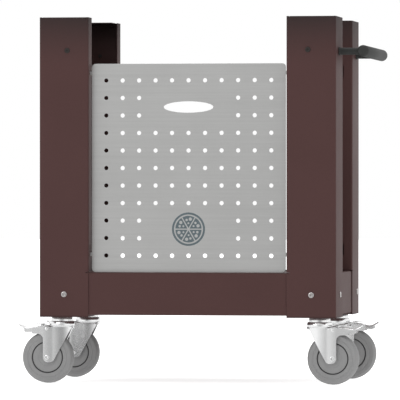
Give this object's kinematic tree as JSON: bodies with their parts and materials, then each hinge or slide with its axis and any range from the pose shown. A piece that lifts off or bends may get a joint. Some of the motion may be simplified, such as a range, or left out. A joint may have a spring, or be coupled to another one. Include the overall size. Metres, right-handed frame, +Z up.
{
  "type": "wheeled pizza oven stand",
  "caption": "Wheeled stand for a table-top pizza oven: folded corner posts, low rails and deck, perforated hook-on front panel, push bar and braked swivel castors.",
  "frame": {"origin": "on the floor, below the middle of the stand's bounding box", "axes": "+X to the right towards the push bar, +Y to the rear, +Z up; the perforated panel faces -Y"},
  "size_m": [0.8514, 0.456, 0.879],
  "materials": {
    "brown_paint": "fine matt powder coat",
    "dark_plug": "dark lacquered screw head",
    "stainless": "horizontal brushed stainless steel",
    "zinc": "bright zinc plate",
    "bolt_steel": "bright steel button head",
    "tyre_rubber": "non-marking grey rubber",
    "hub_plastic": "grey moulded centre",
    "grip_black": "dark grey coated bar"
  },
  "bodies": {
    "stand": {"post_front_left": "brown_paint", "post_front_right": "brown_paint", "post_rear_left": "brown_paint", "post_rear_right": "brown_paint", "rail_front": "brown_paint", "rail_rear": "brown_paint", "rail_left": "brown_paint", "rail_right": "brown_paint", "shelf_deck": "brown_paint", "castor_plate_front_left": "brown_paint", "castor_head_front_left": "zinc", "castor_nut_front_left": "zinc", "face_bolt_front_left": "bolt_steel", "side_bolt_front_left": "bolt_steel", "top_plug_front_left": "dark_plug", "castor_plate_front_right": "brown_paint", "castor_head_front_right": "zinc", "castor_nut_front_right": "zinc", "face_bolt_front_right": "bolt_steel", "side_bolt_front_right": "bolt_steel", "top_plug_front_right": "dark_plug", "castor_plate_rear_left": "brown_paint", "castor_head_rear_left": "zinc", "castor_nut_rear_left": "zinc", "face_bolt_rear_left": "bolt_steel", "side_bolt_rear_left": "bolt_steel", "top_plug_rear_left": "dark_plug", "castor_plate_rear_right": "brown_paint", "castor_head_rear_right": "zinc", "castor_nut_rear_right": "zinc", "face_bolt_rear_right": "bolt_steel", "side_bolt_rear_right": "bolt_steel", "top_plug_rear_right": "dark_plug", "push_bar": "grip_black", "bar_arm_front": "grip_black", "bar_arm_rear": "grip_black", "arm_bolt_front": "bolt_steel", "arm_bolt_rear": "bolt_steel"},
    "panel": {"front_panel": "stainless"},
    "castor_front_left": {"castor_fork_front_left": "zinc", "castor_axle_front_left": "zinc"},
    "wheel_front_left": {"wheel_hub_front_left": "hub_plastic", "tyre_front_left": "tyre_rubber"},
    "pedal_front_left": {"brake_pedal_front_left": "zinc"},
    "castor_front_right": {"castor_fork_front_right": "zinc", "castor_axle_front_right": "zinc"},
    "wheel_front_right": {"wheel_hub_front_right": "hub_plastic", "tyre_front_right": "tyre_rubber"},
    "pedal_front_right": {"brake_pedal_front_right": "zinc"},
    "castor_rear_left": {"castor_fork_rear_left": "zinc", "castor_axle_rear_left": "zinc"},
    "wheel_rear_left": {"wheel_hub_rear_left": "hub_plastic", "tyre_rear_left": "tyre_rubber"},
    "pedal_rear_left": {"brake_pedal_rear_left": "zinc"},
    "castor_rear_right": {"castor_fork_rear_right": "zinc", "castor_axle_rear_right": "zinc"},
    "wheel_rear_right": {"wheel_hub_rear_right": "hub_plastic", "tyre_rear_right": "tyre_rubber"},
    "pedal_rear_right": {"brake_pedal_rear_right": "zinc"}
  },
  "joints": [
    {"name": "panel_lift", "type": "slide", "parent": "stand", "child": "panel", "axis": [0, 0, 1], "range_m": [0, 0.011]},
    {"name": "castor_swivel_front_left", "type": "hinge", "parent": "stand", "child": "castor_front_left", "pos_m": [-0.32075, -0.17375, 0.14], "axis": [0, 0, 1], "continuous": true},
    {"name": "wheel_spin_front_left", "type": "hinge", "parent": "castor_front_left", "child": "wheel_front_left", "pos_m": [-0.35375, -0.17375, 0.0622], "axis": [0, 1, 0], "continuous": true},
    {"name": "pedal_press_front_left", "type": "hinge", "parent": "castor_front_left", "child": "pedal_front_left", "pos_m": [-0.35475, -0.17375, 0.1305], "axis": [0, -1, 0], "range_deg": [0, 8]},
    {"name": "castor_swivel_front_right", "type": "hinge", "parent": "stand", "child": "castor_front_right", "pos_m": [0.30525, -0.17375, 0.14], "axis": [0, 0, 1], "continuous": true},
    {"name": "wheel_spin_front_right", "type": "hinge", "parent": "castor_front_right", "child": "wheel_front_right", "pos_m": [0.33825, -0.17375, 0.0622], "axis": [0, 1, 0], "continuous": true},
    {"name": "pedal_press_front_right", "type": "hinge", "parent": "castor_front_right", "child": "pedal_front_right", "pos_m": [0.33925, -0.17375, 0.1305], "axis": [0, 1, 0], "range_deg": [0, 8]},
    {"name": "castor_swivel_rear_left", "type": "hinge", "parent": "stand", "child": "castor_rear_left", "pos_m": [-0.32075, 0.17375, 0.14], "axis": [0, 0, 1], "continuous": true},
    {"name": "wheel_spin_rear_left", "type": "hinge", "parent": "castor_rear_left", "child": "wheel_rear_left", "pos_m": [-0.35375, 0.17375, 0.0622], "axis": [0, 1, 0], "continuous": true},
    {"name": "pedal_press_rear_left", "type": "hinge", "parent": "castor_rear_left", "child": "pedal_rear_left", "pos_m": [-0.35475, 0.17375, 0.1305], "axis": [0, -1, 0], "range_deg": [0, 8]},
    {"name": "castor_swivel_rear_right", "type": "hinge", "parent": "stand", "child": "castor_rear_right", "pos_m": [0.30525, 0.17375, 0.14], "axis": [0, 0, 1], "continuous": true},
    {"name": "wheel_spin_rear_right", "type": "hinge", "parent": "castor_rear_right", "child": "wheel_rear_right", "pos_m": [0.33825, 0.17375, 0.0622], "axis": [0, 1, 0], "continuous": true},
    {"name": "pedal_press_rear_right", "type": "hinge", "parent": "castor_rear_right", "child": "pedal_rear_right", "pos_m": [0.33925, 0.17375, 0.1305], "axis": [0, 1, 0], "range_deg": [0, 8]}
  ]
}
